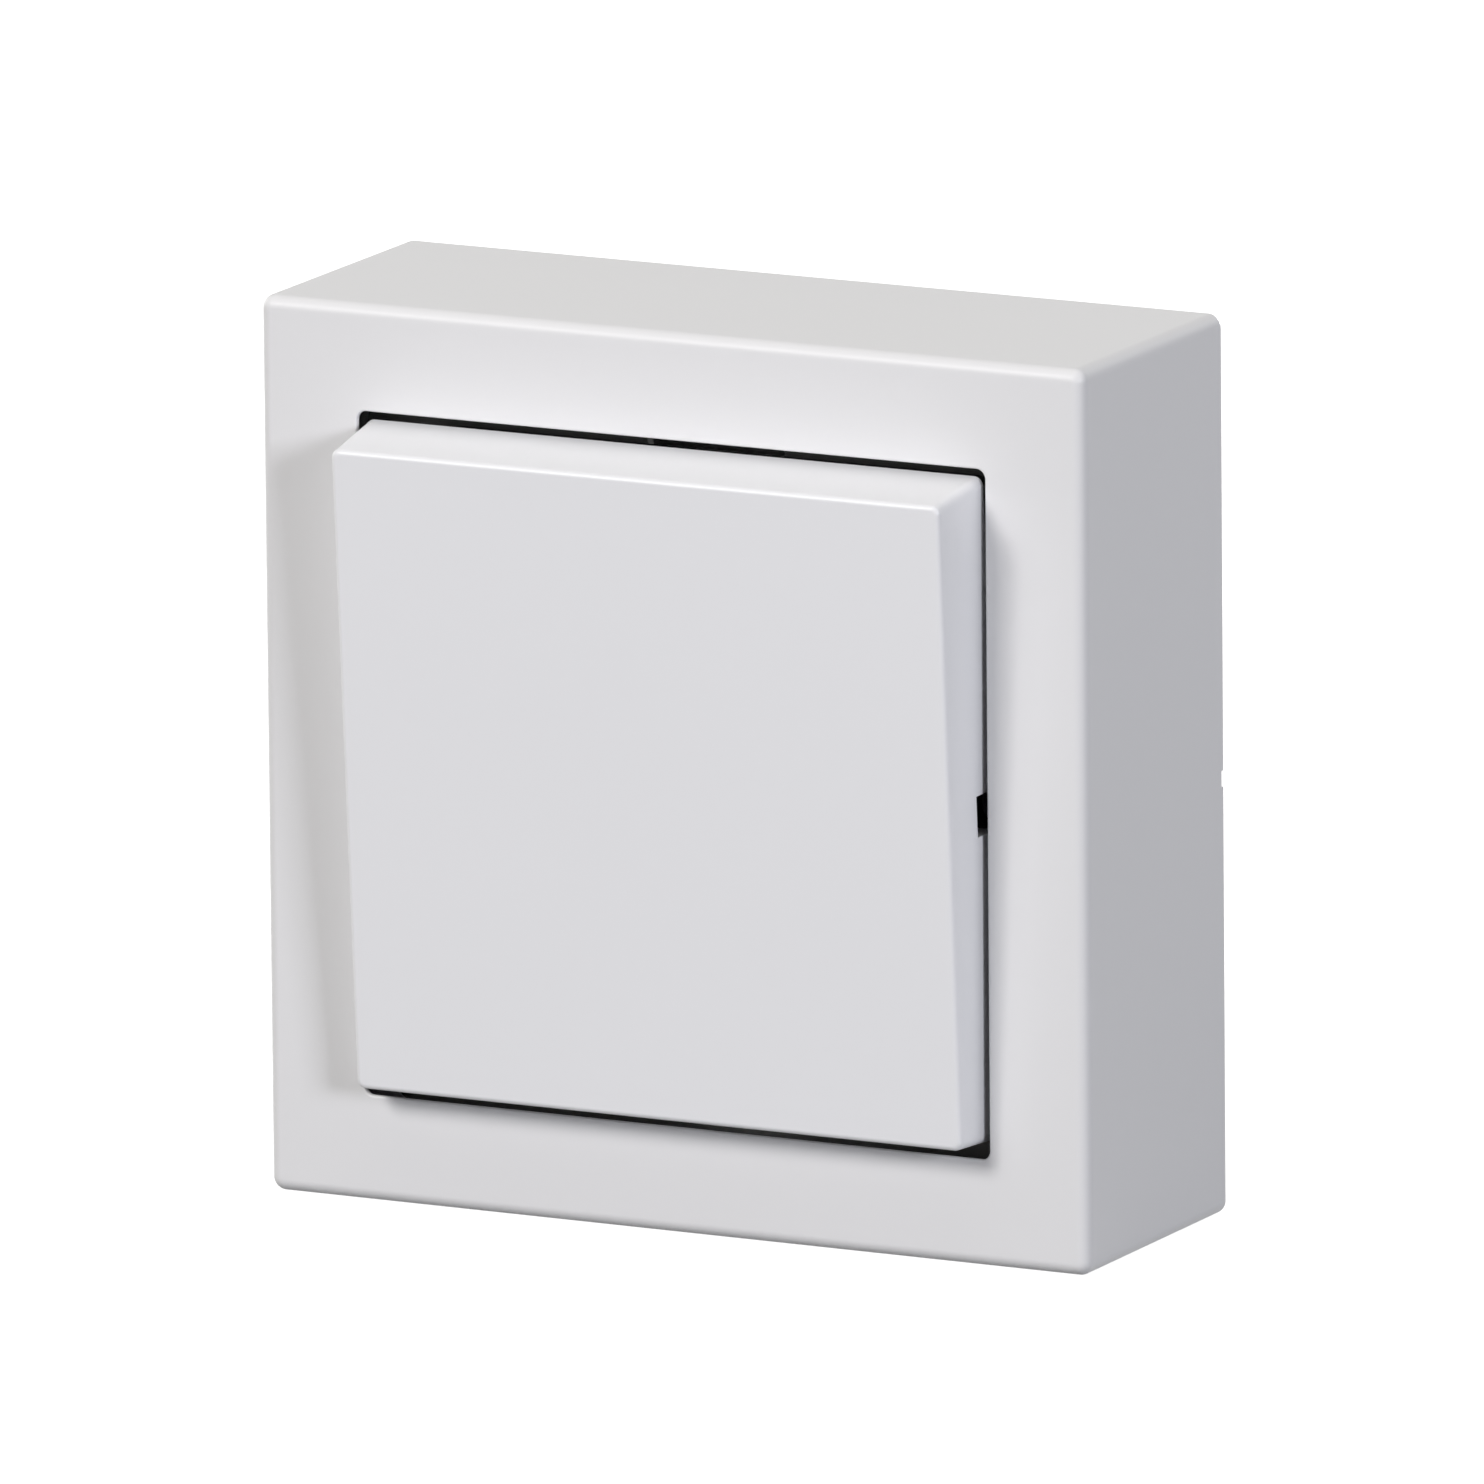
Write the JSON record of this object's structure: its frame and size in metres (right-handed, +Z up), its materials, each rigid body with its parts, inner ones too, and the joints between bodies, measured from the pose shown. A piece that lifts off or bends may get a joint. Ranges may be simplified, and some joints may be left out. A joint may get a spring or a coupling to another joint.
{
  "type": "light switch",
  "caption": "Square surface-mounted wall light switch with one large rocker in a deep white surround.",
  "frame": {"origin": "centre of the rear face that lies on the wall, midway between the two wall slots", "axes": "+Z up, +X to the right when facing the rocker, +Y into the wall, so the front faces -Y"},
  "size_m": [0.083, 0.0354, 0.083],
  "materials": {
    "white_shell": "satin",
    "white_key": "satin",
    "white_base": "fine grain",
    "plate_steel": "zinc plated",
    "screw_steel": "zinc plated",
    "rivet_steel": "plain",
    "housing_grey": "matte",
    "cover_grey": "matte",
    "cradle_grey": "matte",
    "plunger_black": "smooth",
    "spring_steel": "drawn",
    "lever_brass": "rolled",
    "terminal_brass": "rolled",
    "contact_silver": "bright",
    "release_orange": "matte"
  },
  "bodies": {
    "case": {"surround": "white_shell", "base_plate": "white_base", "support_plate": "plate_steel", "insert_screws": "screw_steel", "insert_rivets": "rivet_steel", "insert_housing": "housing_grey", "insert_cover": "cover_grey", "common_terminal": "terminal_brass", "upper_contact": "terminal_brass", "lower_contact": "terminal_brass", "fixed_tips": "contact_silver", "common_clamp": "spring_steel", "upper_clamp": "spring_steel", "lower_clamp": "spring_steel"},
    "key": {"rocker": "white_key", "rocker_cradle": "cradle_grey", "plunger_spring": "spring_steel"},
    "pin": {"plunger": "plunger_black"},
    "lever": {"contact_lever": "lever_brass", "moving_tips": "contact_silver"},
    "common_button": {"common_release": "release_orange"},
    "upper_button": {"upper_release": "release_orange"},
    "lower_button": {"lower_release": "release_orange"}
  },
  "joints": [
    {"name": "rocker_pivot", "type": "hinge", "parent": "case", "child": "key", "pos_m": [0, -0.0243, 0], "axis": [1, 0, 0], "range_deg": [-7, 0]},
    {"name": "plunger_slide", "type": "slide", "parent": "key", "child": "pin", "axis": [0, -0.9981, -0.061], "range_m": [0, 0.0006], "stiffness_N_per_m": 300, "deforming": ["plunger_spring"]},
    {"name": "lever_pivot", "type": "hinge", "parent": "case", "child": "lever", "pos_m": [0, -0.0122, 0], "axis": [1, 0, 0], "range_deg": [0, 15]},
    {"name": "common_release_press", "type": "slide", "parent": "case", "child": "common_button", "axis": [0, -1, 0], "range_m": [0, 0.0012], "stiffness_N_per_m": 400, "deforming": ["common_clamp"]},
    {"name": "upper_release_press", "type": "slide", "parent": "case", "child": "upper_button", "axis": [0, -1, 0], "range_m": [0, 0.0012], "stiffness_N_per_m": 400, "deforming": ["upper_clamp"]},
    {"name": "lower_release_press", "type": "slide", "parent": "case", "child": "lower_button", "axis": [0, -1, 0], "range_m": [0, 0.0012], "stiffness_N_per_m": 400, "deforming": ["lower_clamp"]}
  ],
  "couplings": [
    {"joint": "lever_pivot", "follows": "rocker_pivot", "ratio": -2.1429}
  ]
}
